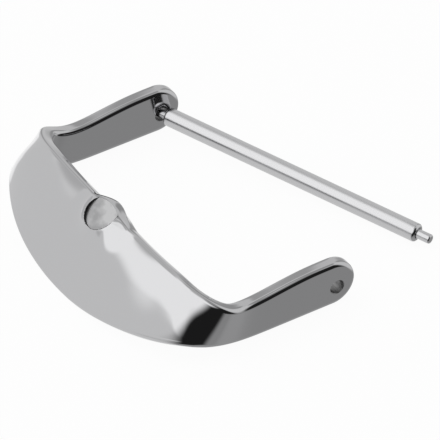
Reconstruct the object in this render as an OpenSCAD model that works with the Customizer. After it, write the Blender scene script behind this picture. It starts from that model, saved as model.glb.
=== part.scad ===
// Watch buckle: a one-piece polished steel frame with a spring bar in its lugs.
// X runs across the strap, Y from the plate back to the lugs, Z up.
// The origin is the middle of the axis through the two lug holes.
// The bar is drawn as it is put in: far tip in its hole, near end swung back behind the lug.

/* [Strap gap] */
// Clear width between the two lugs, which is the width of the strap end
gap_w = 20; // [16:0.5:24]

/* [Frame metal] */
// Thickness of the frame's metal
metal_t = 1; // [0.9:0.05:1.2]
// Rounding of the frame's polished edges
edge_r = 0.24; // [0.15:0.01:0.3]

/* [Lugs and arms] */
// Radius of a lug's round end
lug_r = 1.65; // [1.5:0.05:1.8]
// Height of the lug's round centre above the hole
lug_rise = 0.28; // [0.1:0.02:0.4]
// Distance of the lug's round centre in front of the hole
lug_ahead = 0.25; // [0:0.05:0.5]
// Diameter of the hole that takes a tip of the bar
hole_d = 0.96; // [0.9:0.01:1.1]
// Distance from the hole to the end of the lug's level top
lug_run = 2.2; // [1.8:0.1:2.8]
// Distance from the hole to the middle of the arm
arm_mid_y = 4.6; // [4.2:0.1:5]
// Height of the arm's middle above the hole
arm_mid_z = 1.6; // [1.4:0.05:1.8]
// Distance from the hole to the arm's waist
waist_y = 7.1; // [6.7:0.1:7.4]
// Height of the arm's waist above the hole
waist_z = 1.25; // [1.1:0.05:1.5]

/* [Plate] */
// Distance from the lug holes to the plate's inner edge
inner_reach = 9.95; // [9.6:0.05:10.4]
// Height of the plate's inner edge above the lug holes
crest_z = 3.1; // [2.6:0.1:3.6]
// Distance from the lug holes to the middle of the front edge
front_reach = 14.4; // [13.8:0.1:15]
// Swell of the plate's face above a flat one
plate_crown = 0.16; // [0:0.02:0.3]

/* [Boss] */
// Radius of the bare round seat milled in the boss
seat_r = 1.25; // [1.1:0.01:1.35]
// Depth of the seat at its middle, below the boss's top
seat_depth = 0.22; // [0.15:0.01:0.3]
// How much more upright the seat is than the plate, in degrees
seat_lean = 9; // [6:1:11]
// Height of the boss's top above the plate
boss_h = 0.82; // [0.7:0.02:0.9]
// Distance of the seat's centre from the plate's inner edge
boss_inset = 0.46; // [0.4:0.02:0.56]
// How far the boss swells out onto the plate, beyond the seat
flare_w = 1.8; // [1.5:0.1:2.2]
// How far the boss bulges the plate's inner edge out
bulge_out = 0.62; // [0.5:0.02:0.7]

/* [Spring bar] */
// Outside diameter of the bar's tube
bar_d = 1.25; // [1.15:0.05:1.35]
// Wall of the tube
tube_wall = 0.14; // [0.1:0.01:0.18]
// End play between the tube and each lug when the bar is home
bar_play = 0.1; // [0.08:0.01:0.2]
// Rounding of the tube's rolled ends
roll_r = 0.2; // [0.12:0.01:0.22]
// Diameter of a tip
tip_d = 0.64; // [0.6:0.01:0.68]
// How far a tip stands out of the tube
tip_out = 1; // [0.9:0.02:1.1]
// Running clearance round the tips and their heads
slide_play = 0.03; // [0.02:0.005:0.05]
// Length of the head behind each tip, inside the tube
head_len = 1.9; // [1.5:0.1:2.4]
// Diameter of the coil spring's wire
wire_d = 0.14; // [0.1:0.01:0.16]
// Number of turns in the coil spring
turns = 24; // [18:1:25]
// Angle that the bar is swung out of line with the lug holes
swing = 22.7; // [21:0.1:23]

/* [Hidden] */
round_fn = 64;
bore_fn = 48;

// Frame: its rails.
// The band of metal runs from one lug along its arm, round the plate and back to the other lug.
// Its outer face lies between a top rail and a bottom rail, both smooth curves through rounded
// guide points. The guide points are given for the near half; the far half mirrors them.
side_x = gap_w / 2 + metal_t;
// The front edge's ground face lies this far below the arms' feet
grind = 0.01;
lug_top_z = lug_rise + lug_r;
foot_z = lug_rise - lug_r;
// The bend's shoulder: how far it swells out past the arm, and how far it lies before the crest
shoulder_out = 0.45;
shoulder_back = 1.35;
shoulder_drop = 1.05;
shoulder = [side_x + shoulder_out, shoulder_back - inner_reach, crest_z - shoulder_drop];
// Guide points across the plate's straight inner edge, as distances from the middle
crest_x = [side_x - 2.1, side_x - 4.5, side_x - 7.6, 0];
// Guide points round the front edge: each one's distance in from the side, behind the front edge's
// middle, and above the arms' feet
front_guides = [[0, 4.5, 0.6], [0.1, 3.1, 1.5], [2.2, 1.65, 1.1], [6.2, 0.1, 0.7], [side_x, 0, -0.3]];
// The arm's foot runs on this far past the waist
foot_run = 0.4;
top_guides = concat(
    [[side_x, -lug_ahead, lug_top_z],
     [side_x, -lug_run, lug_top_z],
     [side_x, -arm_mid_y, arm_mid_z],
     [side_x, -waist_y, waist_z],
     shoulder],
    [for (x = crest_x) [x, -inner_reach, crest_z]]);
bottom_guides = concat(
    [for (y = [lug_ahead, lug_run, arm_mid_y, waist_y + foot_run]) [side_x, -y, foot_z]],
    [for (g = front_guides) [side_x - g[0], g[1] - front_reach, foot_z + g[2]]]);
spans = len(top_guides) - 1;
span_steps = [3, 3, 3, 5, 5, 4, 4, 8];
arc_steps = 6;

// A point at u, 0 to 1, of the curve that four guide points in a row steer
function blend4(a, b, c, d, u) =
    (pow(1 - u, 3) * a + (3 * pow(u, 3) - 6 * u * u + 4) * b
     + (1 + 3 * u + 3 * u * u - 3 * pow(u, 3)) * c + pow(u, 3) * d) / 6;
function flip(p) = [-p[0], p[1], p[2]];
function guide(g, k) = k < 0 ? 2 * g[0] - g[1] : k > spans ? flip(g[2 * spans - k]) : g[k];
function on_rail(g, k, u) = blend4(guide(g, k - 1), guide(g, k), guide(g, k + 1), guide(g, k + 2), u);
function half_rail(g) = concat(
    [for (k = [0:spans - 1]) for (i = [0:span_steps[k] - 1]) on_rail(g, k, i / span_steps[k])],
    [on_rail(g, spans - 1, 1)]);
// The lug's round end, upper or lower quarter
function lug_arc(side) =
    [for (i = [0:arc_steps - 1]) let (a = 90 * (1 - (i + 0.5) / arc_steps))
        [side_x, lug_r * sin(a) - lug_ahead, lug_rise + side * lug_r * cos(a)]];
function whole(half) = concat(half, [for (i = [len(half) - 2:-1:0]) flip(half[i])]);
function unit(v) = v / norm(v);

// Frame: the boss's place on the plate
crest_mid = on_rail(top_guides, spans - 1, 1);
front_mid = on_rail(bottom_guides, spans - 1, 1);
plate_down = unit(front_mid - crest_mid);
plate_out = [0, plate_down[2], -plate_down[1]];
boss_at = crest_mid + plate_down * boss_inset;
plate_tilt = atan2(-plate_out[1], plate_out[2]);
// The boss's sides are hollow curves of this radius
hollow_r = (flare_w * flare_w + boss_h * boss_h) / (2 * boss_h);
// The bulge lies on an arc of this radius; its side stands this high above the plate, then rounds over
bulge_r = 3.4;
side_h = 0.12;
round_run = 1;
round_h = boss_h - side_h;
round_r = (round_run * round_run + round_h * round_h) / (2 * round_h);
// Under the plate's face the bulge draws in by this much, down to this depth
bulge_draw = 0.35;
foot_depth = 0.7;
// Beside the bulge, the boss keeps this far in from the plate's inner edge
edge_keep = 0.1;

// Frame: stations along the band
top_rail = whole(concat(lug_arc(1), half_rail(top_guides)));
bottom_rail = whole(concat(lug_arc(-1), half_rail(bottom_guides)));
stations = len(top_rail);
last = stations - 1;
function near_end(i) = i < arc_steps;
function far_end(i) = i > last - arc_steps;
function tangent(r, i) = unit(r[min(last, i + 1)] - r[max(0, i - 1)]);
function outward(r, i) = near_end(i) ? [1, 0, 0] : far_end(i) ? [-1, 0, 0] :
    unit(cross(tangent(r, i), bottom_rail[i] - top_rail[i]));
top_n = [for (i = [0:last]) outward(top_rail, i)];
bottom_n = [for (i = [0:last]) outward(bottom_rail, i)];
top_m = [for (i = [0:last]) unit(cross(tangent(top_rail, i), top_n[i]))];
bottom_m = [for (i = [0:last]) unit(cross(bottom_n[i], tangent(bottom_rail, i)))];
// How much of the plate's swell a station has: none on the arms
function ease(w) = w * w * (3 - 2 * w);
swell_run = 3;
function swell(i) = plate_crown * ease(min(1, max(0, (side_x - abs(top_rail[i][0])) / swell_run)));

// Frame: rounded rim, as pairs of inset and depth below the outer face
rim_steps = 2;
rim = concat(
    [for (k = [0:rim_steps]) let (a = 90 * k / rim_steps) [edge_r * (1 - sin(a)), edge_r * (1 - cos(a))]],
    [for (k = [0:rim_steps]) let (a = 90 * k / rim_steps)
        [edge_r * (1 - cos(a)), metal_t - edge_r * (1 - sin(a))]]);
rings = len(rim);
function top_rim(i, k) = top_rail[i] - rim[k][0] * top_m[i] - rim[k][1] * top_n[i];
function bottom_rim(i, k) = bottom_rail[i] - rim[k][0] * bottom_m[i] - rim[k][1] * bottom_n[i];
// One closed ring: along the top rail, then back along the bottom rail
function rim_ring(k) = concat([for (i = [0:last]) top_rim(i, k)], [for (i = [last:-1:0]) bottom_rim(i, k)]);

// Frame: outer and inner faces, rows of points between the rims
rows = 7;
function face_point(i, j, k) =
    let (w = j / rows, p = top_rim(i, k) * (1 - w) + bottom_rim(i, k) * w, n = unit(top_n[i] + bottom_n[i]))
    k == 0 ? p + n * swell(i) * 4 * w * (1 - w) : p;
ring_len = 2 * stations;
inner_rows = rows - 1;
face_len = inner_rows * stations;
frame_points = concat(
    [for (k = [0:rings - 1]) each rim_ring(k)],
    [for (j = [1:inner_rows]) for (i = [0:last]) face_point(i, j, 0)],
    [for (j = [1:inner_rows]) for (i = [0:last]) face_point(i, j, rings - 1)]);
function top_at(i, k) = k * ring_len + i;
function bottom_at(i, k) = k * ring_len + ring_len - 1 - i;
// Number of a face's point; a lug's end has no rows of its own
function face_at(i, j, k) =
    j == 0 || ((i == 0 || i == last) && j < rows / 2) ? top_at(i, k) :
    j == rows || i == 0 || i == last ? bottom_at(i, k) :
    rings * ring_len + (k == 0 ? 0 : face_len) + (j - 1) * stations + i;
function tri(a, b, c) = a == b || b == c || c == a ? [] : [[a, b, c]];
function quad(a, b, c, d) = concat(tri(a, c, b), tri(a, d, c));
frame_faces = concat(
    [for (k = [0:rings - 2]) for (i = [0:ring_len - 1]) let (n = (i + 1) % ring_len)
        each quad(k * ring_len + i, (k + 1) * ring_len + i, (k + 1) * ring_len + n, k * ring_len + n)],
    [for (i = [0:last - 1]) for (j = [0:rows - 1])
        each quad(face_at(i, j, 0), face_at(i + 1, j, 0), face_at(i + 1, j + 1, 0), face_at(i, j + 1, 0))],
    [for (i = [0:last - 1]) for (j = [0:rows - 1]) let (k = rings - 1)
        each quad(face_at(i, j, k), face_at(i, j + 1, k), face_at(i + 1, j + 1, k), face_at(i + 1, j, k))]);

// Section through the boss's inner side, with its edge at zero
module inner_side(reach) {
    polygon([[-reach, -foot_depth], [-bulge_draw, -foot_depth], [0, -edge_r], [0, side_h],
             [-round_run, side_h], [-round_run, boss_h], [-reach, boss_h]]);
    intersection() {
        translate([-round_run, boss_h - round_r])
            circle(r = round_r, $fn = 2 * round_fn);
        translate([-round_run, 0])
            square([round_run, boss_h]);
    }
}

// Boss swelling out of the plate and over its inner edge, rounded off on that side
module boss() {
    foot_r = seat_r + flare_w;
    intersection() {
        rotate_extrude($fn = 2 * round_fn)
            difference() {
                translate([0, -foot_depth])
                    square([foot_r, foot_depth + boss_h]);
                translate([foot_r, hollow_r])
                    circle(r = hollow_r, $fn = 2 * round_fn);
            }
        union() {
            translate([0, boss_inset + bulge_out - bulge_r, 0])
                rotate_extrude($fn = 2 * round_fn)
                    intersection() {
                        translate([bulge_r, 0])
                            inner_side(2 * bulge_r);
                        translate([0, -foot_depth])
                            square([bulge_r, foot_depth + boss_h]);
                    }
            translate([-foot_r, boss_inset - edge_keep, 0])
                rotate([90, 0, 90])
                    linear_extrude(2 * foot_r)
                        inner_side(2 * foot_r);
        }
    }
}

// The polished frame: plate, bends, arms and lugs in one, with its holes and the boss's bare seat
module frame() {
    color([0.72, 0.72, 0.73])
    difference() {
        union() {
            polyhedron(frame_points, frame_faces);
            translate(boss_at)
                rotate([plate_tilt, 0, 0])
                    boss();
        }
        for (side = [-1, 1])
            translate([side * (side_x - metal_t / 2), 0, 0])
                rotate([0, 90, 0])
                    cylinder(h = 2 * metal_t, d = hole_d, center = true, $fn = bore_fn);
        // The front edge is ground level with the arms' feet, so that the buckle lies flat
        translate([-gap_w, -2 * front_reach, foot_z - grind - metal_t * 2])
            cube([2 * gap_w, 2 * front_reach, metal_t * 2]);
        translate(boss_at)
            rotate([plate_tilt, 0, 0])
                translate([0, 0, boss_h - seat_depth])
                    rotate([-seat_lean, 0, 0])
                        cylinder(h = metal_t, r = seat_r, $fn = 2 * round_fn);
    }
}

// Spring bar: its place.
// Home, the tube lies centred between the lugs. To let its tips in and out, the bar swings back
// and down until its near end rests on the table: the turn is about an axis square to both places.
tube_len = gap_w - 2 * bar_play;
rest_drop = -foot_z - bar_d / 2;
dip = asin(rest_drop / (gap_w - bar_play));
bar_dir = [cos(swing) * cos(dip), sin(swing) * cos(dip), -sin(dip)];
home_end = [-tube_len / 2, 0, 0];
// Shift of the tube's far end as it lies swung out: in from the lug, so that its corner stays
// clear, and back along the tip, so that the tip still stands in the middle of its hole
shift_in = 0.21;
shift_back = 0.23;
rest_end = home_end + [shift_in, shift_back, -shift_back * tan(dip) / sin(swing)];
module along_bar() {
    translate(rest_end)
        rotate([0, dip, swing])
            rotate([0, 90, 0])
                children();
}
tube_r = bar_d / 2;
bore_r = tube_r - tube_wall;
mouth_r = tip_d / 2 + slide_play;
mouth_len = 0.25;
head_r = bore_r - slide_play;
tip_round = 0.12;

// Tube with its ends rolled in round the tips
module bar_tube() {
    color([0.8, 0.8, 0.8])
    along_bar()
        rotate_extrude($fn = round_fn)
            difference() {
                union() {
                    translate([0, roll_r])
                        square([tube_r, tube_len - 2 * roll_r]);
                    square([tube_r - roll_r, tube_len]);
                    for (z = [roll_r, tube_len - roll_r])
                        translate([tube_r - roll_r, z])
                            circle(r = roll_r, $fn = bore_fn);
                }
                translate([-tube_r, -tube_len])
                    square([tube_r, 3 * tube_len]);
                translate([0, mouth_len])
                    square([bore_r, tube_len - 2 * mouth_len]);
                translate([-mouth_r, -tube_len])
                    square([2 * mouth_r, 3 * tube_len]);
            }
}

// One turned plunger, drawn from its tip's end: a rounded tip, then the head that the mouth holds in
module plunger() {
    head_at = tip_out + mouth_len;
    rotate_extrude($fn = round_fn)
        difference() {
            union() {
                translate([0, tip_round])
                    square([tip_d / 2, head_at]);
                square([tip_d / 2 - tip_round, head_at]);
                translate([tip_d / 2 - tip_round, tip_round])
                    circle(r = tip_round, $fn = bore_fn);
                translate([0, head_at])
                    square([head_r, head_len]);
            }
            translate([-tip_d, -tip_d])
                square([tip_d, head_at + head_len + 2 * tip_d]);
        }
}
module far_plunger() {
    color([0.85, 0.85, 0.85])
    along_bar()
        translate([0, 0, -tip_out])
            plunger();
}
module near_plunger() {
    color([0.85, 0.85, 0.85])
    along_bar()
        translate([0, 0, tube_len + tip_out])
            rotate([180, 0, 0])
                plunger();
}

// Coil spring between the two heads, one unbroken tube
turn_rings = 8;
wire_sides = 6;
spring_from = mouth_len + head_len;
spring_len = tube_len - 2 * spring_from;
coil_r = bore_r - wire_d / 2 - 2 * slide_play;
coil_steps = turns * turn_rings;
rise = (spring_len - wire_d) / coil_steps;
function coil_at(s) = [coil_r * cos(360 * s / turn_rings), coil_r * sin(360 * s / turn_rings),
                       spring_from + wire_d / 2 + rise * s];
function coil_ring(s) =
    let (t = unit([-sin(360 * s / turn_rings) * 2 * PI * coil_r / turn_rings,
                   cos(360 * s / turn_rings) * 2 * PI * coil_r / turn_rings, rise]),
         r = [cos(360 * s / turn_rings), sin(360 * s / turn_rings), 0],
         b = cross(t, r))
    [for (k = [0:wire_sides - 1])
        coil_at(s) + wire_d / 2 * (cos(360 * k / wire_sides) * r + sin(360 * k / wire_sides) * b)];
spring_points = [for (s = [0:coil_steps]) each coil_ring(s)];
spring_faces = concat(
    [for (s = [0:coil_steps - 1]) for (k = [0:wire_sides - 1])
        let (a = s * wire_sides, n = (k + 1) % wire_sides)
        each quad(a + k, a + n, a + wire_sides + n, a + wire_sides + k)],
    [for (k = [1:wire_sides - 2]) [0, k, k + 1]],
    [for (k = [1:wire_sides - 2]) let (e = coil_steps * wire_sides) [e, e + k + 1, e + k]]);
// Least gap from one turn to the next, measured between points of the wire's middle line
turn_gap = min([for (s = [0:turn_rings]) for (q = [turn_rings / 2:2 * turn_rings])
    norm(coil_at(s + q) - coil_at(s))]) - wire_d;
echo(spring_gap_mm = turn_gap);
module coil_spring() {
    color([0.6, 0.6, 0.6])
    along_bar()
        polyhedron(spring_points, spring_faces);
}

frame();
bar_tube();
far_plunger();
near_plunger();
coil_spring();
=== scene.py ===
# A watch buckle: a polished steel frame with a spring bar half put in, on a pale table.
import math

import bpy
import numpy as np
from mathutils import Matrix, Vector


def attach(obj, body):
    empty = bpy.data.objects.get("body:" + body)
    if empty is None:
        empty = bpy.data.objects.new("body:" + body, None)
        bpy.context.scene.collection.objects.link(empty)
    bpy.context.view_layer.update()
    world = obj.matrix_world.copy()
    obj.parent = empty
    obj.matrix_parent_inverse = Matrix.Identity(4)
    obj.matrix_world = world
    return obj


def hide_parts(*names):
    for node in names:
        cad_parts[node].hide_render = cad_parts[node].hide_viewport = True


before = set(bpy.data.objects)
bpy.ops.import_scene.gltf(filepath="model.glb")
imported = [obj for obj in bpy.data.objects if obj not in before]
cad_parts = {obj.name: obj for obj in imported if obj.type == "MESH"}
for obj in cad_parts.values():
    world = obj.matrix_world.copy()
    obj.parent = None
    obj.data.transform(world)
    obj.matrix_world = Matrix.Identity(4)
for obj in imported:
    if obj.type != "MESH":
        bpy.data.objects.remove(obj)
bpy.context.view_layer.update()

# The buckle frame.
# One piece of stainless steel: a sloping plate, two rounded bends, two arms and two lugs.
# It is pressed from 1 mm metal, machined, and polished bright on every face.

# Sizes are in millimetres from the middle of the line through both lug holes:
# x from lug to lug, y to the back, z up
MM = 0.001
GAP_W = 20.0
METAL_T = 1.0
EDGE_R = 0.28
SIDE_X = GAP_W / 2 + METAL_T
# Lugs and arms; a pair is how far in front of the holes and how high
LUG_R = 1.65
LUG_RISE = 0.28
LUG_AHEAD = 0.25
LUG_RUN = 2.2
HOLE_R = 0.48
ARM_MID = (4.6, 1.6)
WAIST = (7.1, 1.25)
# Plate
INNER_REACH = 9.95
CREST_Z = 3.1
FRONT_REACH = 14.4
PLATE_CROWN = 0.16
CROWN_RUN = 3.0
FOOT_Z = LUG_RISE - LUG_R
LUG_TOP_Z = LUG_RISE + LUG_R
GRIND = 0.01
# Guide points of the bends and of the plate's edges, from the side to the middle.
# The front edge's are given as in from the side, back from the front, and up from the table.
SHOULDER = (SIDE_X + 0.44, 1.35 - INNER_REACH, CREST_Z - 1.05)
CREST_INSETS = (2.1, 4.5, 7.6, SIDE_X)
FRONT_GUIDES = ((0, 4.5, 0.6), (0.1, 3.1, 1.5), (2.2, 1.65, 1.1), (6.2, 0.1, 0.7), (SIDE_X, 0, -0.3))
FOOT_RUN = 0.4

top_guides = np.array(
    [
        (SIDE_X, -LUG_AHEAD, LUG_TOP_Z),
        (SIDE_X, -LUG_RUN, LUG_TOP_Z),
        (SIDE_X, -ARM_MID[0], ARM_MID[1]),
        (SIDE_X, -WAIST[0], WAIST[1]),
        SHOULDER,
        *[(SIDE_X - inset, -INNER_REACH, CREST_Z) for inset in CREST_INSETS],
    ]
)
bottom_guides = np.array(
    [(SIDE_X, -y, FOOT_Z) for y in (LUG_AHEAD, LUG_RUN, ARM_MID[0], WAIST[0] + FOOT_RUN)]
    + [(SIDE_X - g[0], g[1] - FRONT_REACH, FOOT_Z + g[2]) for g in FRONT_GUIDES]
)
FLIP = np.array((-1.0, 1.0, 1.0))
SPAN_STEPS = (8, 8, 12, 34, 40, 24, 24, 96)
ARC_STEPS = 14


def half_rail(guides):
    """Smooth curve steered by the guide points, from the lug to the middle of the plate."""
    pts = np.vstack([2 * guides[0] - guides[1], guides, guides[-2] * FLIP])
    rail = []
    for k, steps in enumerate(SPAN_STEPS):
        a, b, c, d = pts[k : k + 4]
        for u in np.arange(steps + (k == len(SPAN_STEPS) - 1)) / steps:
            rail.append(
                (
                    (1 - u) ** 3 * a
                    + (3 * u**3 - 6 * u**2 + 4) * b
                    + (1 + 3 * u + 3 * u**2 - 3 * u**3) * c
                    + u**3 * d
                )
                / 6
            )
    return np.array(rail)


def lug_arc(side):
    """Quarter of the lug's round end, above (1) or below (-1) its middle."""
    a = np.radians(90 * (1 - (np.arange(ARC_STEPS) + 0.5) / ARC_STEPS))
    y = LUG_R * np.sin(a) - LUG_AHEAD
    return np.column_stack([np.full_like(y, SIDE_X), y, LUG_RISE + side * LUG_R * np.cos(a)])


def whole(half):
    """Line from lug to lug, from its near half."""
    return np.vstack([half, half[-2::-1] * FLIP])


def unit(v):
    """Vectors made one long."""
    return v / np.linalg.norm(v, axis=-1, keepdims=True)


def smooth(w):
    """Eased step from 0 to 1."""
    w = np.clip(w, 0, 1)
    return w * w * (3 - 2 * w)


top_rail = whole(np.vstack([lug_arc(1), half_rail(top_guides)]))
bottom_rail = whole(np.vstack([lug_arc(-1), half_rail(bottom_guides)]))
stations = len(top_rail)


def tangents(rail):
    """Direction of a rail at each of its points."""
    ends = np.vstack([rail[:1], rail, rail[-1:]])
    return unit(ends[2:] - ends[:-2])


def outward(rail):
    """Direction out of the metal's outer face at each point of a rail; the lugs' ends are flat."""
    n = unit(np.cross(tangents(rail), bottom_rail - top_rail))
    n[:ARC_STEPS] = (1, 0, 0)
    n[-ARC_STEPS:] = (-1, 0, 0)
    return n


top_n = outward(top_rail)
bottom_n = outward(bottom_rail)
top_m = unit(np.cross(tangents(top_rail), top_n))
bottom_m = unit(np.cross(bottom_n, tangents(bottom_rail)))

# The boss swells out of the plate and bulges its inner edge: a steep hill on a wide low swell
middle = stations // 2
crest_mid = top_rail[middle]
plate_down = unit(bottom_rail[middle] - crest_mid)
plate_out = np.array((0.0, plate_down[2], -plate_down[1]))
BOSS_INSET = 0.46
BOSS_REACH = 7.0
BOSS_FADE = 2.0
# The seat and the hill round it
SEAT_R = 1.25
SEAT_H = 0.63
HILL_H = 0.56
FLARE_W = 1.9
FLARE_CURVE = 2.5
SWELL_H = 0.20
SWELL_W = 2.6
# The bulge over the inner edge: how far out, how wide, and the share of it on the inner face
BULGE_OUT = 0.62
BULGE_HALF_W = 2.2
BULGE_CURVE = 1.3
BULGE_FADE = 1.8
BULGE_BELOW = 0.45
# The bulge stands up this much at its edge, and rounds over from there
BULGE_LOW = 0.12
EDGE_ROUND = 1.3
EDGE_BLEND = 0.3


def boss_swell(p, keep):
    """Points of the plate moved onto the boss; keep is 1 on the outer face, less below it."""
    x = p[..., 0]
    s = (p - crest_mid) @ plate_down
    near = smooth((BOSS_REACH - np.abs(x)) / BOSS_FADE) * (p[..., 1] < -INNER_REACH / 2)
    bulge = BULGE_OUT * np.cos(np.clip(np.abs(x) / BULGE_HALF_W, 0, 1) * math.pi / 2) ** BULGE_CURVE
    share = BULGE_BELOW + (1 - BULGE_BELOW) * keep
    shift = bulge * np.clip(1 - s / BULGE_FADE, 0, 1) ** 2 * share * near
    off_axis = np.hypot(x, s - shift - BOSS_INSET)
    run = np.clip((SEAT_R + FLARE_W - off_axis) / FLARE_W, 0, 1)
    hill = HILL_H * run**FLARE_CURVE + SWELL_H * np.exp(-((off_axis / SWELL_W) ** 2))
    from_edge = np.clip(s - shift + bulge, 0, EDGE_ROUND)
    cap = BULGE_LOW + (HILL_H + SWELL_H - BULGE_LOW) * np.sqrt(1 - (1 - from_edge / EDGE_ROUND) ** 2)
    # The lower of hill and cap, with the line between them blended
    mix = np.clip(0.5 + (cap - hill) / EDGE_BLEND, 0, 1)
    low = cap * (1 - mix) + hill * mix - EDGE_BLEND / 2 * mix * (1 - mix)
    rise = np.maximum(low, 0) * keep * near
    return p - shift[..., None] * plate_down + rise[..., None] * plate_out


# The rim: a rounded edge, a straight wall and a rounded edge, as insets and depths below the outer face
RIM_STEPS = 5
WALL_STEPS = 5
quarter = np.radians(90 * np.arange(RIM_STEPS + 1) / RIM_STEPS)
round_out = EDGE_R * (1 - np.sin(quarter))
round_down = EDGE_R * (1 - np.cos(quarter))
wall_down = EDGE_R + (METAL_T - 2 * EDGE_R) * np.arange(1, WALL_STEPS) / WALL_STEPS
rim_inset = np.concatenate([round_out, np.zeros(WALL_STEPS - 1), round_down])
rim_depth = np.concatenate([round_down, wall_down, METAL_T - round_out])
rim_keep = 1 - smooth((rim_depth - EDGE_R) / (METAL_T - 2 * EDGE_R))
flat_top = [top_rail - i * top_m - d * top_n for i, d in zip(rim_inset, rim_depth)]
flat_bottom = [bottom_rail - i * bottom_m - d * bottom_n for i, d in zip(rim_inset, rim_depth)]

# Rows of points across the outer face stand closer near the inner edge, where the boss is
OUTER_ROWS = 110
INNER_ROWS = 40
CROWDING = 0.45
even_w = np.arange(OUTER_ROWS + 1) / OUTER_ROWS
outer_w = (1 - CROWDING) * even_w + CROWDING * even_w**2
inner_w = np.arange(INNER_ROWS + 1) / INNER_ROWS
face_n = unit(top_n + bottom_n)
on_plate = smooth((SIDE_X - np.abs(top_rail[:, 0])) / CROWN_RUN)
face_width = np.linalg.norm(bottom_rail - top_rail, axis=1)
# The plate rolls over towards its inner edge
ROLL_W = 2.8
ROLL_RISE = 0.22


def face_row(k, w, crowned):
    """Points at depth k of the rim, w of the way from the top rail to the bottom one."""
    p = flat_top[k] * (1 - w) + flat_bottom[k] * w
    from_edge = rim_inset[k] + w * face_width
    roll = ROLL_RISE * (1 - np.clip(1 - from_edge / ROLL_W, 0, 1) ** 2) * (1 - w**3)
    return p + face_n * (on_plate * (PLATE_CROWN * 4 * w * (1 - w) + roll) * crowned)[:, None]


verts = []


def add(points):
    """Adds points to the mesh and returns their numbers."""
    start = sum(len(p) for p in verts)
    verts.append(points)
    return np.arange(start, start + len(points))


top_id = [add(boss_swell(face_row(k, 0, keep), keep)) for k, keep in enumerate(rim_keep)]
bottom_id = [add(p) for p in flat_bottom]
outer_rows = [add(boss_swell(face_row(0, w, 1), 1)) for w in outer_w[1:-1]]
outer_id = [top_id[0]] + outer_rows + [bottom_id[0]]
inner_rows = [add(boss_swell(face_row(-1, w, 0), 0)) for w in inner_w[1:-1]]
inner_id = [top_id[-1]] + inner_rows + [bottom_id[-1]]
# A lug's end has no rows of its own: its row points are those of the nearer rim
for rows in (outer_id, inner_id):
    for j in range(1, len(rows) - 1):
        rim = rows[0] if j < len(rows) / 2 else rows[-1]
        rows[j][[0, -1]] = rim[[0, -1]]

faces = []


def grid(lines, flip):
    """Faces between neighbouring lines of points, without the ones that close up to nothing."""
    for a, b in zip(lines, lines[1:]):
        for i in range(len(a) - 1):
            corners = [a[i], a[i + 1], b[i + 1], b[i]]
            face = list(dict.fromkeys(int(c) for c in corners))
            if len(face) > 2:
                faces.append(face[::-1] if flip else face)


grid(outer_id, True)
grid(inner_id, False)
grid(top_id, False)
grid(bottom_id, True)
# The lugs' ends close the band
for end, flip in ((0, False), (-1, True)):
    grid([[line[end] for line in top_id], [line[end] for line in bottom_id]], flip)


def new_object(name, points, polygons):
    """Mesh object from points in millimetres, with the points that no face uses left out."""
    used = np.unique(np.concatenate([np.asarray(f) for f in polygons]))
    renumber = np.full(len(points), -1)
    renumber[used] = np.arange(len(used))
    polygons = [[int(renumber[v]) for v in f] for f in polygons]
    mesh = bpy.data.meshes.new(name)
    mesh.from_pydata((points[used] * MM).tolist(), [], polygons)
    mesh.polygons.foreach_set("use_smooth", [True] * len(mesh.polygons))
    mesh.update()
    made = bpy.data.objects.new(name, mesh)
    bpy.context.scene.collection.objects.link(made)
    return made


buckle = new_object("buckle_frame", np.vstack(verts), faces)


def turned(profile, segments):
    """Points and faces of a closed turned form about Z, from its profile as (radius, height) pairs.
    The first and last points of the profile lie on the axis."""
    ring = np.arange(segments) * 2 * math.pi / segments
    points = [(0, 0, profile[0][1])]
    for r, h in profile[1:-1]:
        points += [(r * math.cos(a), r * math.sin(a), h) for a in ring]
    points.append((0, 0, profile[-1][1]))
    rows = len(profile) - 2
    polygons = []
    for j in range(segments):
        n = (j + 1) % segments
        polygons.append([0, 1 + n, 1 + j])
        for k in range(rows - 1):
            a, b = 1 + k * segments, 1 + (k + 1) * segments
            polygons.append([a + j, a + n, b + n, b + j])
        last = 1 + (rows - 1) * segments
        polygons.append([last + j, last + n, len(points) - 1])
    return np.array(points, float), polygons


def arc(centre, radius, start, end, steps):
    """Points of an arc of a profile, angles in degrees."""
    return [
        (centre[0] + radius * math.cos(math.radians(a)), centre[1] + radius * math.sin(math.radians(a)))
        for a in np.linspace(start, end, steps)
    ]


cut_points = []
cut_faces = []


def add_cut(points, polygons):
    """Adds one closed form to what is cut away from the frame."""
    base = sum(len(p) for p in cut_points)
    cut_faces.extend([base + v for v in f] for f in polygons)
    cut_points.append(points)


# The drill for the lug holes breaks their edges slightly
HOLE_BREAK = 0.05
DRILL_FLARE = 1.0
face_h = METAL_T / 2
drill = [(0, -face_h - DRILL_FLARE), (HOLE_R + DRILL_FLARE, -face_h - DRILL_FLARE)]
drill += [(HOLE_R + HOLE_BREAK, -face_h), (HOLE_R, -face_h + HOLE_BREAK)]
drill += [(r, -h) for r, h in drill[::-1]]
drill_points, drill_faces = turned(drill, 96)
for side in (-1, 1):
    lug_mid = (side * (SIDE_X - METAL_T / 2), 0, 0)
    add_cut(drill_points[:, [2, 1, 0]] * FLIP + lug_mid, drill_faces)
# The front edge is ground level with the arms' feet, on a flat stone wider than the buckle
STONE_X = (-14, 14)
STONE_Y = (-20, 4)
STONE_T = 3
low = FOOT_Z - GRIND
stone = np.array([(x, y, z) for x in STONE_X for y in STONE_Y for z in (low - STONE_T, low)], float)
add_cut(stone, ((0, 1, 3, 2), (4, 6, 7, 5), (0, 4, 5, 1), (2, 3, 7, 6), (0, 2, 6, 4), (1, 5, 7, 3)))
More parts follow.
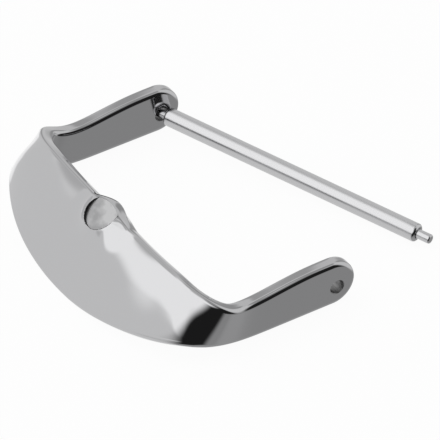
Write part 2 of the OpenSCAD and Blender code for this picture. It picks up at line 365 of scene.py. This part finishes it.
# The seat is milled a little more upright than the plate, so it is deepest near the inner edge
MILL_LEAN = math.radians(9)
MILL_TOP = 2
SEAT_FILLET = 0.02
FLOOR_RINGS = (0.3, 0.6, 0.85)
mill = [(0, SEAT_H)] + [(SEAT_R * f, SEAT_H) for f in FLOOR_RINGS]
mill += arc((SEAT_R - SEAT_FILLET, SEAT_H + SEAT_FILLET), SEAT_FILLET, -90, 0, 6)
mill += [(SEAT_R, MILL_TOP), (0, MILL_TOP)]
mill_points, mill_faces = turned(mill, 160)
boss_at = crest_mid + plate_down * BOSS_INSET
across = np.array((1.0, 0.0, 0.0))
mill_out = plate_out * math.cos(MILL_LEAN) - plate_down * math.sin(MILL_LEAN)
mill_at = boss_at + (plate_out - mill_out) * SEAT_H
mill_side = np.cross(mill_out, across)
mill_place = np.array((across, mill_side, mill_out))
add_cut(mill_at + mill_points @ mill_place, mill_faces)
cutter = new_object("cutter", np.vstack(cut_points), cut_faces)
cut = buckle.modifiers.new("cut", "BOOLEAN")
cut.operation = "DIFFERENCE"
cut.solver = "EXACT"
cut.object = cutter
bpy.context.view_layer.update()
cut_buckle = buckle.evaluated_get(bpy.context.evaluated_depsgraph_get())
cut_mesh = bpy.data.meshes.new_from_object(cut_buckle)
buckle.modifiers.clear()
buckle.data = cut_mesh
bpy.data.objects.remove(cutter)
buckle.data.polygons.foreach_set("use_smooth", [True] * len(buckle.data.polygons))
buckle.data.set_sharp_from_angle(angle=math.radians(32))


def math_node(tree, operation, *values):
    """Output of a new sum in a node tree; each value is a number or another node's output."""
    node = tree.nodes.new("ShaderNodeMath")
    node.operation = operation
    for socket, value in zip(node.inputs, values):
        if isinstance(value, (int, float)):
            socket.default_value = value
        else:
            tree.links.new(value, socket)
    return node.outputs[0]


# Shared effect: the faint haze and the fine scratches that handling and buffing leave on steel
haze = bpy.data.node_groups.new("buffing haze", "ShaderNodeTree")
for name, value in (("Roughness", 0.08), ("Spread", 0.04), ("Scale", 400.0), ("Scratch Depth", 0.02)):
    socket = haze.interface.new_socket(name, in_out="INPUT", socket_type="NodeSocketFloat")
    socket.default_value = value
for name, kind in (("Roughness", "Float"), ("Normal", "Vector"), ("Cloud", "Float")):
    haze.interface.new_socket(name, in_out="OUTPUT", socket_type="NodeSocket" + kind)
haze_in = haze.nodes.new("NodeGroupInput")
haze_out = haze.nodes.new("NodeGroupOutput")
coords = haze.nodes.new("ShaderNodeTexCoord")
cloud = haze.nodes.new("ShaderNodeTexNoise")
cloud.inputs["Detail"].default_value = 5
haze.links.new(coords.outputs["Object"], cloud.inputs["Vector"])
haze.links.new(haze_in.outputs["Scale"], cloud.inputs["Scale"])
haze.links.new(cloud.outputs["Fac"], haze_out.inputs["Cloud"])
swing = math_node(haze, "SUBTRACT", cloud.outputs["Fac"], 0.5)
amount = math_node(haze, "MULTIPLY_ADD", swing, haze_in.outputs["Spread"], haze_in.outputs["Roughness"])
amount.node.use_clamp = True
haze.links.new(amount, haze_out.inputs["Roughness"])
stretch = haze.nodes.new("ShaderNodeMapping")
stretch.inputs["Scale"].default_value = (0.15, 1.0, 1.0)
haze.links.new(coords.outputs["Object"], stretch.inputs["Vector"])
fine = haze.nodes.new("ShaderNodeTexNoise")
fine.inputs["Scale"].default_value = 9000
fine.inputs["Detail"].default_value = 3
haze.links.new(stretch.outputs["Vector"], fine.inputs["Vector"])
scratch = haze.nodes.new("ShaderNodeBump")
scratch.inputs["Distance"].default_value = 0.000002
haze.links.new(haze_in.outputs["Scratch Depth"], scratch.inputs["Strength"])
haze.links.new(fine.outputs["Fac"], scratch.inputs["Height"])
haze.links.new(scratch.outputs["Normal"], haze_out.inputs["Normal"])


def steel(name, colour, roughness, spread, scale, scratches):
    """Bare steel whose gloss varies a little over the surface."""
    made = bpy.data.materials.new(name)
    made.use_nodes = True
    shader = made.node_tree.nodes["Principled BSDF"]
    shader.inputs["Base Color"].default_value = (*colour, 1)
    shader.inputs["Metallic"].default_value = 1
    group = made.node_tree.nodes.new("ShaderNodeGroup")
    group.node_tree = haze
    group.inputs["Roughness"].default_value = roughness
    group.inputs["Spread"].default_value = spread
    group.inputs["Scale"].default_value = scale
    group.inputs["Scratch Depth"].default_value = scratches
    made.node_tree.links.new(group.outputs["Roughness"], shader.inputs["Roughness"])
    made.node_tree.links.new(group.outputs["Normal"], shader.inputs["Normal"])
    return made


buckle.data.materials.clear()
buckle.data.materials.append(steel("mirror-polished steel", (0.60, 0.60, 0.61), 0.07, 0.05, 500, 0.05))
satin_steel = steel("satin steel", (0.46, 0.46, 0.465), 0.30, 0.10, 900, 0.25)
# The seat's floor was never buffed, so it has a cloudy look
nodes, links = satin_steel.node_tree.nodes, satin_steel.node_tree.links
cloudy = nodes.new("ShaderNodeMapRange")
cloudy.inputs["From Min"].default_value = 0.38
cloudy.inputs["From Max"].default_value = 0.62
links.new(nodes["Group"].outputs["Cloud"], cloudy.inputs["Value"])
tint = nodes.new("ShaderNodeMix")
tint.data_type = "RGBA"
tint.inputs["A"].default_value = (0.36, 0.36, 0.365, 1)
tint.inputs["B"].default_value = (0.56, 0.56, 0.565, 1)
links.new(cloudy.outputs["Result"], tint.inputs["Factor"])
links.new(tint.outputs["Result"], nodes["Principled BSDF"].inputs["Base Color"])
buckle.data.materials.append(satin_steel)
# The seat's wall: a near-black painted shade for the dark crescent round the seat, not the colour of cut
# steel
buckle.data.materials.append(steel("seat wall painted shade", (0.05, 0.05, 0.05), 0.5, 0.1, 900, 0.3))
# The lug holes' walls: rougher as drilled, and their colour painted darker as shade inside the holes
buckle.data.materials.append(steel("drilled hole with painted shade", (0.24, 0.24, 0.24), 0.34, 0.1, 900, 0.3))
# The seat's floor is satin, its wall is painted near black as shade, and the lug holes are drilled, with
# painted shade darkening their walls
for face in buckle.data.polygons:
    from_seat = np.array(face.center) / MM - mill_at
    height = from_seat @ mill_out
    radius = np.linalg.norm(from_seat - height * mill_out)
    from_hole = math.hypot(face.center.y, face.center.z) / MM
    if abs(height - SEAT_H) < SEAT_FILLET / 2 and radius < SEAT_R - SEAT_FILLET:
        face.material_index = 1
    elif SEAT_H < height < 2 * SEAT_H and abs(radius - SEAT_R) < SEAT_FILLET:
        face.material_index = 2
    elif from_hole < HOLE_R + HOLE_BREAK and abs(face.normal.x) < 0.9:
        face.material_index = 3
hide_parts("frame")
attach(buckle, "buckle")

# The spring bar's tube.
# A drawn stainless tube, cut to length and rolled in at both ends round the tips.
BAR_D = 1.25
BAR_PLAY = 0.1
TUBE_LEN = GAP_W - 2 * BAR_PLAY
ROLL_R = 0.2
TUBE_WALL = 0.14
SLIDE_PLAY = 0.03
TIP_D = 0.64
TIP_OUT = 1.0
MOUTH_LEN = 0.25
HEAD_LEN = 1.9
# At rest the bar is swung out by this much, and its near end has dipped to the table
SWING = math.radians(22.7)
rest_drop = -FOOT_Z - BAR_D / 2
dip = math.asin(rest_drop / (GAP_W - BAR_PLAY))
bar_dir = np.array((math.cos(SWING) * math.cos(dip), math.sin(SWING) * math.cos(dip), -math.sin(dip)))
SHIFT_IN = 0.21
SHIFT_BACK = 0.23
bar_end = np.array((-TUBE_LEN / 2 + SHIFT_IN, SHIFT_BACK, -SHIFT_BACK * math.tan(dip) / math.sin(SWING)))
bar_side = unit(np.cross((0.0, 0.0, 1.0), bar_dir))
bar_up = np.cross(bar_dir, bar_side)


def on_bar(points, start=0.0, way=1):
    """Points of a turned form laid along the bar from start, towards the near (1) or the far end (-1)."""
    return (
        bar_end
        + points[:, :1] * bar_side * way
        + points[:, 1:2] * bar_up
        + (start + way * points[:, 2:]) * bar_dir
    )


tube_r = BAR_D / 2
bore_r = tube_r - TUBE_WALL
mouth_r = TIP_D / 2 + SLIDE_PLAY
MOUTH_ROUND = 0.03
end_round = [(mouth_r, MOUTH_LEN)] + arc((mouth_r + MOUTH_ROUND, MOUTH_ROUND), MOUTH_ROUND, 180, 270, 4)
end_round += arc((tube_r - ROLL_R, ROLL_R), ROLL_R, -90, 0, 12)
outline = end_round + [(tube_r, TUBE_LEN * f) for f in np.linspace(0.05, 0.95, 12)]
outline += [(r, TUBE_LEN - h) for r, h in end_round[::-1]]
hollow = outline + [(bore_r, TUBE_LEN - MOUTH_LEN), (bore_r, MOUTH_LEN)]


def ring_form(profile, segments):
    """Points and faces of a hollow turned form, from its closed profile."""
    ring = np.arange(segments) * 2 * math.pi / segments
    points = [(r * math.cos(a), r * math.sin(a), h) for r, h in profile for a in ring]
    polygons = []
    for k in range(len(profile)):
        a, b = k * segments, (k + 1) % len(profile) * segments
        for j in range(segments):
            n = (j + 1) % segments
            polygons.append([a + j, a + n, b + n, b + j])
    return np.array(points), polygons


tube_points, tube_faces = ring_form(hollow, 96)
tube = new_object("spring_bar_tube", on_bar(tube_points), tube_faces)
tube.data.set_sharp_from_angle(angle=math.radians(50))
tube.data.materials.append(steel("drawn steel tube", (0.63, 0.63, 0.64), 0.18, 0.08, 700, 0.12))
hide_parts("bar_tube")
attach(tube, "tube")

# The two tips.
# Turned steel pins with a rounded end; the head behind each is held in by the tube's rolled mouth.
TIP_ROUND = 0.12
tip_r = TIP_D / 2
head_r = bore_r - SLIDE_PLAY
head_at = TIP_OUT + MOUTH_LEN
pin = [(0, 0)] + arc((tip_r - TIP_ROUND, TIP_ROUND), TIP_ROUND, -90, 0, 10)
pin += [(tip_r, head_at), (head_r, head_at), (head_r, head_at + HEAD_LEN), (0, head_at + HEAD_LEN)]
pin_points, pin_faces = turned(pin, 72)
tip_steel = steel("turned steel tip", (0.62, 0.62, 0.63), 0.17, 0.10, 1200, 0.2)
for name, node, body, start, way in (
    ("far_tip", "far_plunger", "far_tip", -TIP_OUT, 1),
    ("near_tip", "near_plunger", "near_tip", TUBE_LEN + TIP_OUT, -1),
):
    tip = new_object(name, on_bar(pin_points, start, way), pin_faces)
    tip.data.set_sharp_from_angle(angle=math.radians(50))
    tip.data.materials.append(tip_steel)
    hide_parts(node)
    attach(tip, body)

# The coil spring.
# Drawn spring wire wound inside the tube, between the two heads; the CAD coil is kept as it is.
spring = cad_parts["coil_spring"]
spring.data.materials.clear()
spring.data.materials.append(steel("spring wire", (0.50, 0.50, 0.51), 0.3, 0.12, 1500, 0.3))

# The table and the studio.
# A pale table top in a tent of soft panels: a big bright one in front on the left, dark cloth on the
# right round the camera, and grey patches low by the arms, a painted shade of the table beside them.
soft_patch = bpy.data.node_groups.new("soft-edged patch", "ShaderNodeTree")
for name in ("Across", "Along", "Low Across", "High Across", "Low Along", "High Along", "Blur"):
    soft_patch.interface.new_socket(name, in_out="INPUT", socket_type="NodeSocketFloat")
soft_patch.interface.new_socket("Mask", in_out="OUTPUT", socket_type="NodeSocketFloat")
patch_in = soft_patch.nodes.new("NodeGroupInput")
patch_out = soft_patch.nodes.new("NodeGroupOutput")
blur = patch_in.outputs["Blur"]


def patch_edge(value, edge, rising):
    """Mask that is 1 on one side of an edge and 0 on the other, blurred across it."""
    larger, smaller = (value, edge) if rising else (edge, value)
    inside = math_node(soft_patch, "SUBTRACT", patch_in.outputs[larger], patch_in.outputs[smaller])
    step = soft_patch.nodes.new("ShaderNodeMapRange")
    step.interpolation_type = "SMOOTHSTEP"
    soft_patch.links.new(inside, step.inputs["Value"])
    soft_patch.links.new(math_node(soft_patch, "MULTIPLY", blur, -1), step.inputs["From Min"])
    soft_patch.links.new(blur, step.inputs["From Max"])
    return step.outputs["Result"]


mask = 1
for way in ("Across", "Along"):
    mask = math_node(soft_patch, "MULTIPLY", patch_edge(way, "Low " + way, True), mask)
    mask = math_node(soft_patch, "MULTIPLY", patch_edge(way, "High " + way, False), mask)
soft_patch.links.new(mask, patch_out.inputs["Mask"])


def layered(tree, across, along, level, patches):
    """Brightness built up from a first level and soft-edged patches laid over it in turn."""
    for low_a, high_a, low_b, high_b, blur, brightness in patches:
        patch = tree.nodes.new("ShaderNodeGroup")
        patch.node_tree = soft_patch
        tree.links.new(across, patch.inputs["Across"])
        tree.links.new(along, patch.inputs["Along"])
        patch.inputs["Low Across"].default_value = low_a
        patch.inputs["High Across"].default_value = high_a
        patch.inputs["Low Along"].default_value = low_b
        patch.inputs["High Along"].default_value = high_b
        patch.inputs["Blur"].default_value = blur
        lay = tree.nodes.new("ShaderNodeMix")
        lay.data_type = "FLOAT"
        tree.links.new(patch.outputs["Mask"], lay.inputs["Factor"])
        if isinstance(level, float):
            lay.inputs["A"].default_value = level
        else:
            tree.links.new(level, lay.inputs["A"])
        lay.inputs["B"].default_value = brightness
        level = lay.outputs["Result"]
    return level


# The table's half width in metres, and the small gap below the frame
TABLE_REACH = 3.0
TABLE_GAP = 0.00005
corners = ((-1, -1), (1, -1), (1, 1), (-1, 1))
floor_mesh = bpy.data.meshes.new("table")
floor_mesh.from_pydata(
    [(x * TABLE_REACH, y * TABLE_REACH, FOOT_Z * MM - TABLE_GAP) for x, y in corners],
    [],
    [(0, 1, 2, 3)],
)
floor = bpy.data.objects.new("table", floor_mesh)
bpy.context.scene.collection.objects.link(floor)
floor.visible_glossy = False
pale = bpy.data.materials.new("pale table")
pale.use_nodes = True
tree = pale.node_tree
# Straight from the camera the table is nearly white, and keeps a trace of the shadow
SEEN_WHITE = 0.95
paint = tree.nodes["Principled BSDF"]
paint.inputs["Base Color"].default_value = (0.82, 0.82, 0.82, 1)
paint.inputs["Roughness"].default_value = 0.9
white = tree.nodes.new("ShaderNodeEmission")
white.inputs["Color"].default_value = (1, 1, 1, 1)
white.inputs["Strength"].default_value = 1.0
path = tree.nodes.new("ShaderNodeLightPath")
by_eye = tree.nodes.new("ShaderNodeMixShader")
tree.links.new(math_node(tree, "MULTIPLY", path.outputs["Is Camera Ray"], SEEN_WHITE), by_eye.inputs[0])
tree.links.new(paint.outputs[0], by_eye.inputs[1])
tree.links.new(white.outputs[0], by_eye.inputs[2])
tree.links.new(by_eye.outputs[0], tree.nodes["Material Output"].inputs["Surface"])
floor_mesh.materials.append(pale)

world = bpy.data.worlds.new("studio")
bpy.context.scene.world = world
world.use_nodes = True
sky = world.node_tree
sky.nodes.clear()
place = sky.nodes.new("ShaderNodeTexCoord")
split = sky.nodes.new("ShaderNodeSeparateXYZ")
sky.links.new(place.outputs["Generated"], split.inputs[0])
turn = math_node(sky, "ARCTAN2", split.outputs["Y"], split.outputs["X"])
# Degrees round, from x towards y, and degrees up
compass = math_node(sky, "MULTIPLY", turn, 180 / math.pi)
compass = math_node(sky, "WRAP", compass, 180, -180)
rise = math_node(sky, "MULTIPLY", math_node(sky, "ARCSINE", split.outputs["Z"]), 180 / math.pi)
# Each panel: round from, to, up from, to, blur, brightness. A side at FAR has no edge.
FAR = 400
left_panels = (
    (-FAR, 135, 50, 120, 6, 0.75),
    (-FAR, -30, 52, 72, 5, 1.45),
    (-FAR, -152, 38.5, 56, 2, 0.76),
    (-97, -84, -12, 5, 4, 0.8),
)
# The big panel hangs a little askew
SKEW = 0.34
hung = math_node(sky, "MULTIPLY_ADD", compass, SKEW, math_node(sky, "ADD", rise, 140 * SKEW))
big_panel = ((-152, 0, 33.6, 84, 3.2, 1.55),)
# The dark cloth's edge leans too, and falls in soft folds
LEAN = 1.5
fold = math_node(sky, "MINIMUM", math_node(sky, "MAXIMUM", rise, 6), 36)
leaning = math_node(sky, "SUBTRACT", compass, math_node(sky, "MULTIPLY", fold, LEAN))
dark_cloth = ((-77, FAR, -FAR, 62, 24, 0.02),)
# Pale walls behind, grey patches by the arms painting the table's shade there, two grey stands, a strip
# above and bright paper low down
right_panels = (
    (42, FAR, -FAR, FAR, 8, 1.0),
    # These two grey patches low by the arms are painted shade of the table beside them, as the steel
    # mirrors it
    (-60, 110, -120, -27, 7, 0.43),
    (-60, 110, -120, -43, 3, 0.53),
    (100, 170, -30, 55, 6, 0.9),
    (112, 131, -30, 38, 4, 0.5),
    (149, 162, -15, 49, 3, 0.58),
    (15, 158, 58, 76, 5, 0.5),
    (160, FAR, -50, -10, 3, 1.45),
    (-FAR, -172, -50, -10, 3, 1.45),
)
room = sky.nodes.new("ShaderNodeBackground")
level = layered(sky, compass, rise, 1.0, left_panels)
level = layered(sky, compass, hung, level, big_panel)
level = layered(sky, leaning, rise, level, dark_cloth)
level = layered(sky, compass, rise, level, right_panels)
sky.links.new(level, room.inputs["Strength"])
backdrop = sky.nodes.new("ShaderNodeBackground")
backdrop.inputs["Color"].default_value = (1, 1, 1, 1)
sky_path = sky.nodes.new("ShaderNodeLightPath")
pick = sky.nodes.new("ShaderNodeMixShader")
sky.links.new(sky_path.outputs["Is Camera Ray"], pick.inputs[0])
sky.links.new(room.outputs[0], pick.inputs[1])
sky.links.new(backdrop.outputs[0], pick.inputs[2])
sky_out = sky.nodes.new("ShaderNodeOutputWorld")
sky.links.new(pick.outputs[0], sky_out.inputs["Surface"])

# One lamp gives the faint shadow on the table; the steel doesn't mirror it
softbox = bpy.data.lights.new("softbox", "AREA")
softbox.shape = "SQUARE"
softbox.size = 0.30
softbox.energy = 0.25
lamp = bpy.data.objects.new("softbox", softbox)
lamp.location = (-0.13, -0.11, 0.30)
lamp.rotation_euler = (-lamp.location).to_track_quat("-Z", "Y").to_euler()
bpy.context.scene.collection.objects.link(lamp)
lamp.visible_camera = False
lamp.visible_glossy = False

# The camera.
# It stands where the photograph was taken from, far off with a long lens. Its place is given by the
# scale, by the pixel that shows the middle between the lug holes, and by two angles.
IMAGE_PX = 440
PX_PER_MM = 15.42
DISTANCE = 380.0
ORIGIN_PX = (243.9, 195.1)
az = math.radians(57.5)
el = math.radians(39.4)
right = np.array((math.cos(az), math.sin(az), 0.0))
up = np.array((-math.sin(az) * math.sin(el), math.cos(az) * math.sin(el), math.cos(el)))
back = np.array((math.sin(az) * math.cos(el), -math.cos(az) * math.cos(el), math.sin(el)))
half_px = IMAGE_PX / 2
target = (half_px - ORIGIN_PX[0]) / PX_PER_MM * right - (half_px - ORIGIN_PX[1]) / PX_PER_MM * up
camera_data = bpy.data.cameras.new("camera")
camera_data.sensor_width = 36
camera_data.lens = PX_PER_MM * DISTANCE / IMAGE_PX * camera_data.sensor_width
camera_data.dof.use_dof = False
camera_data.clip_start = 0.01
camera_data.clip_end = 20
camera = bpy.data.objects.new("camera", camera_data)
camera.location = (target + back * DISTANCE) * MM
camera.rotation_euler = Vector(-back).to_track_quat("-Z", "Y").to_euler()
bpy.context.scene.collection.objects.link(camera)
bpy.context.scene.camera = camera
bpy.context.scene.view_settings.view_transform = "Standard"
